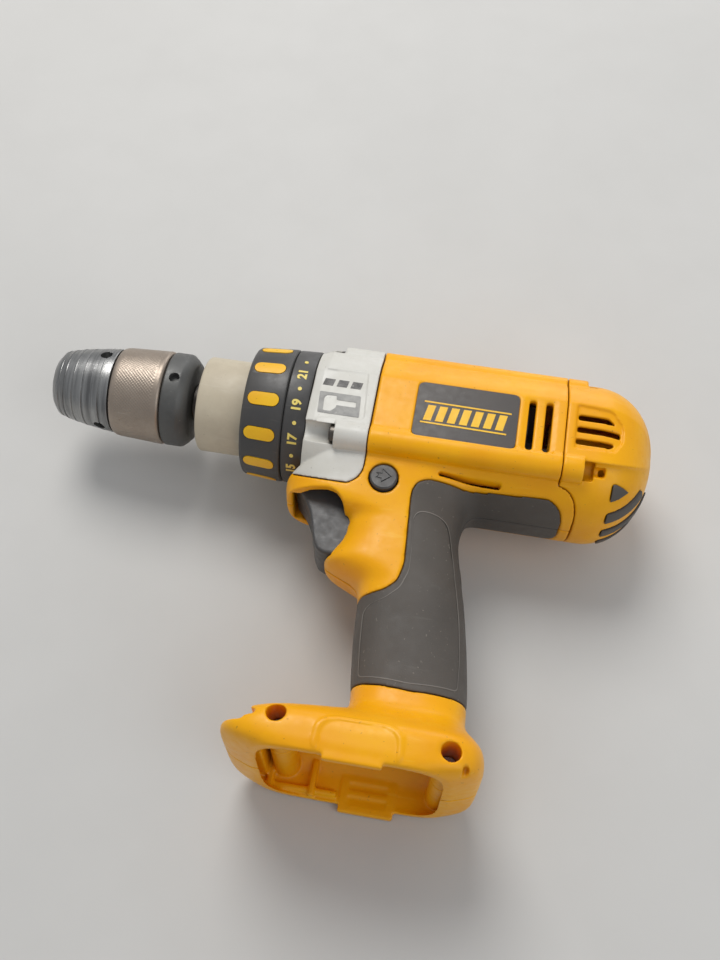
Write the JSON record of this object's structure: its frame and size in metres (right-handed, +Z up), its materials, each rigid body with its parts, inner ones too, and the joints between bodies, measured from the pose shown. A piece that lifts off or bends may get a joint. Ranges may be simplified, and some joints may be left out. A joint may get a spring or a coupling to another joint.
{
  "type": "cordless hammer drill",
  "caption": "Cordless hammer drill without its battery, lying on its side: keyless chuck, torque dial, gear case, motor housing, pistol grip with trigger, and an open battery foot.",
  "frame": {"origin": "centre of the bottom of the whole tool's bounding box, with the tool on its right side", "axes": "+X from the chuck to the motor's end cap, +Y from the foot to the spine, +Z up out of the tool's left side"},
  "size_m": [0.2612, 0.1888, 0.077],
  "materials": {
    "yellow_plastic": "moulded satin",
    "silver_paint": "painted satin over a casting",
    "cream_metal": "worn matt",
    "black_plastic": "satin",
    "rubber": "matt and dusty",
    "sleeve_steel": "dull, finely ribbed",
    "worn_steel": "turned and worn",
    "bright_steel": "bright",
    "copper": "copper windings on a steel core",
    "brass": "bright",
    "switch_red": "matt",
    "carbon": "matt"
  },
  "bodies": {
    "drill_body": {"battery_contact_block": "black_plastic", "battery_contact_left": "brass", "battery_contact_right": "brass", "brush_holder": "switch_red", "cap_screw_lower_left": "bright_steel", "cap_screw_lower_right": "bright_steel", "cap_screw_upper_left": "bright_steel", "cap_screw_upper_right": "bright_steel", "case_screw_lower_left": "bright_steel", "case_screw_lower_right": "bright_steel", "case_screw_upper_left": "bright_steel", "case_screw_upper_right": "bright_steel", "clutch_plate": "bright_steel", "clutch_spring": "bright_steel", "end_cap": "yellow_plastic", "foot_screw_front": "bright_steel", "foot_screw_rear": "bright_steel", "gear_case": "silver_paint", "grip_rubber_left": "rubber", "grip_rubber_right": "rubber", "housing_left": "yellow_plastic", "housing_right": "yellow_plastic", "label_plate_left": "black_plastic", "label_plate_right": "black_plastic", "lead_negative": "carbon", "lead_positive": "switch_red", "motor_bearing_front": "bright_steel", "motor_bearing_rear": "bright_steel", "motor_brush_left": "carbon", "motor_brush_right": "carbon", "motor_can": "bright_steel", "motor_magnet_ring": "carbon", "rear_bumper": "rubber", "ring_gear": "bright_steel", "side_handle_collar": "cream_metal", "spindle_bearing": "bright_steel", "switch_module": "switch_red", "trigger_spring": "bright_steel"},
    "chuck": {"chuck_body": "worn_steel", "chuck_ring": "black_plastic", "spindle": "bright_steel", "planet_carrier": "bright_steel"},
    "chuck_sleeve_grip": {"chuck_sleeve": "sleeve_steel"},
    "jaw_1": {"chuck_jaw_1": "bright_steel"},
    "jaw_2": {"chuck_jaw_2": "bright_steel"},
    "jaw_3": {"chuck_jaw_3": "bright_steel"},
    "planet_1": {"planet_gear_1": "bright_steel"},
    "planet_2": {"planet_gear_2": "bright_steel"},
    "planet_3": {"planet_gear_3": "bright_steel"},
    "armature": {"motor_shaft": "bright_steel", "motor_pinion": "bright_steel", "armature_core": "copper", "commutator": "brass", "cooling_fan": "black_plastic"},
    "torque_dial": {"torque_collar": "black_plastic", "torque_number_ring": "black_plastic"},
    "clutch_adjuster": {"clutch_nut": "bright_steel"},
    "trigger_body": {"trigger": "black_plastic"},
    "direction_lever": {"direction_button": "black_plastic"},
    "gear_selector": {"speed_selector": "black_plastic"}
  },
  "joints": [
    {"name": "chuck_spin", "type": "hinge", "parent": "drill_body", "child": "chuck", "pos_m": [-0.071, 0.06205, 0.0385], "axis": [1, 0, 0], "continuous": true},
    {"name": "sleeve_turn", "type": "hinge", "parent": "chuck", "child": "chuck_sleeve_grip", "pos_m": [-0.091, 0.06205, 0.0385], "axis": [1, 0, 0], "range_deg": [0, 2160]},
    {"name": "jaw_1_slide", "type": "slide", "parent": "chuck", "child": "jaw_1", "axis": [0.9781, 0.1801, 0.104], "range_m": [0, 0.0121]},
    {"name": "jaw_2_slide", "type": "slide", "parent": "chuck", "child": "jaw_2", "axis": [0.9781, -0.1801, 0.104], "range_m": [0, 0.0121]},
    {"name": "jaw_3_slide", "type": "slide", "parent": "chuck", "child": "jaw_3", "axis": [0.9781, 0, -0.2079], "range_m": [0, 0.0121]},
    {"name": "planet_1_spin", "type": "hinge", "parent": "chuck", "child": "planet_1", "pos_m": [-0.00205, 0.07405, 0.0385], "axis": [1, 0, 0], "continuous": true},
    {"name": "planet_2_spin", "type": "hinge", "parent": "chuck", "child": "planet_2", "pos_m": [-0.00205, 0.05605, 0.04889], "axis": [1, 0, 0], "continuous": true},
    {"name": "planet_3_spin", "type": "hinge", "parent": "chuck", "child": "planet_3", "pos_m": [-0.00205, 0.05605, 0.02811], "axis": [1, 0, 0], "continuous": true},
    {"name": "armature_spin", "type": "hinge", "parent": "drill_body", "child": "armature", "pos_m": [0.049, 0.06205, 0.0385], "axis": [1, 0, 0], "continuous": true},
    {"name": "torque_turn", "type": "hinge", "parent": "drill_body", "child": "torque_dial", "pos_m": [-0.031, 0.06205, 0.0385], "axis": [1, 0, 0], "range_deg": [-290, 0]},
    {"name": "clutch_nut_slide", "type": "slide", "parent": "drill_body", "child": "clutch_adjuster", "axis": [1, 0, 0], "range_m": [-0.00401, 0], "deforming": ["clutch_spring"]},
    {"name": "trigger_pull", "type": "slide", "parent": "drill_body", "child": "trigger_body", "axis": [1, 0, 0], "range_m": [0, 0.0065], "stiffness_N_per_m": 400, "springref_m": -0.005, "deforming": ["trigger_spring"]},
    {"name": "direction_slide", "type": "slide", "parent": "drill_body", "child": "direction_lever", "axis": [0, 0, 1], "range_m": [-0.003, 0.003]},
    {"name": "gear_slide", "type": "slide", "parent": "drill_body", "child": "gear_selector", "axis": [1, 0, 0], "range_m": [0, 0.01]}
  ],
  "couplings": [
    {"joint": "jaw_1_slide", "follows": "sleeve_turn", "m_per_rad": 0.00031831},
    {"joint": "jaw_2_slide", "follows": "sleeve_turn", "m_per_rad": 0.00031831},
    {"joint": "jaw_3_slide", "follows": "sleeve_turn", "m_per_rad": 0.00031831},
    {"joint": "planet_1_spin", "follows": "chuck_spin", "ratio": -2.6667},
    {"joint": "planet_2_spin", "follows": "chuck_spin", "ratio": -2.6667},
    {"joint": "planet_3_spin", "follows": "chuck_spin", "ratio": -2.6667},
    {"joint": "armature_spin", "follows": "chuck_spin", "ratio": 5},
    {"joint": "clutch_nut_slide", "follows": "torque_turn", "m_per_rad": 0.00079029}
  ]
}
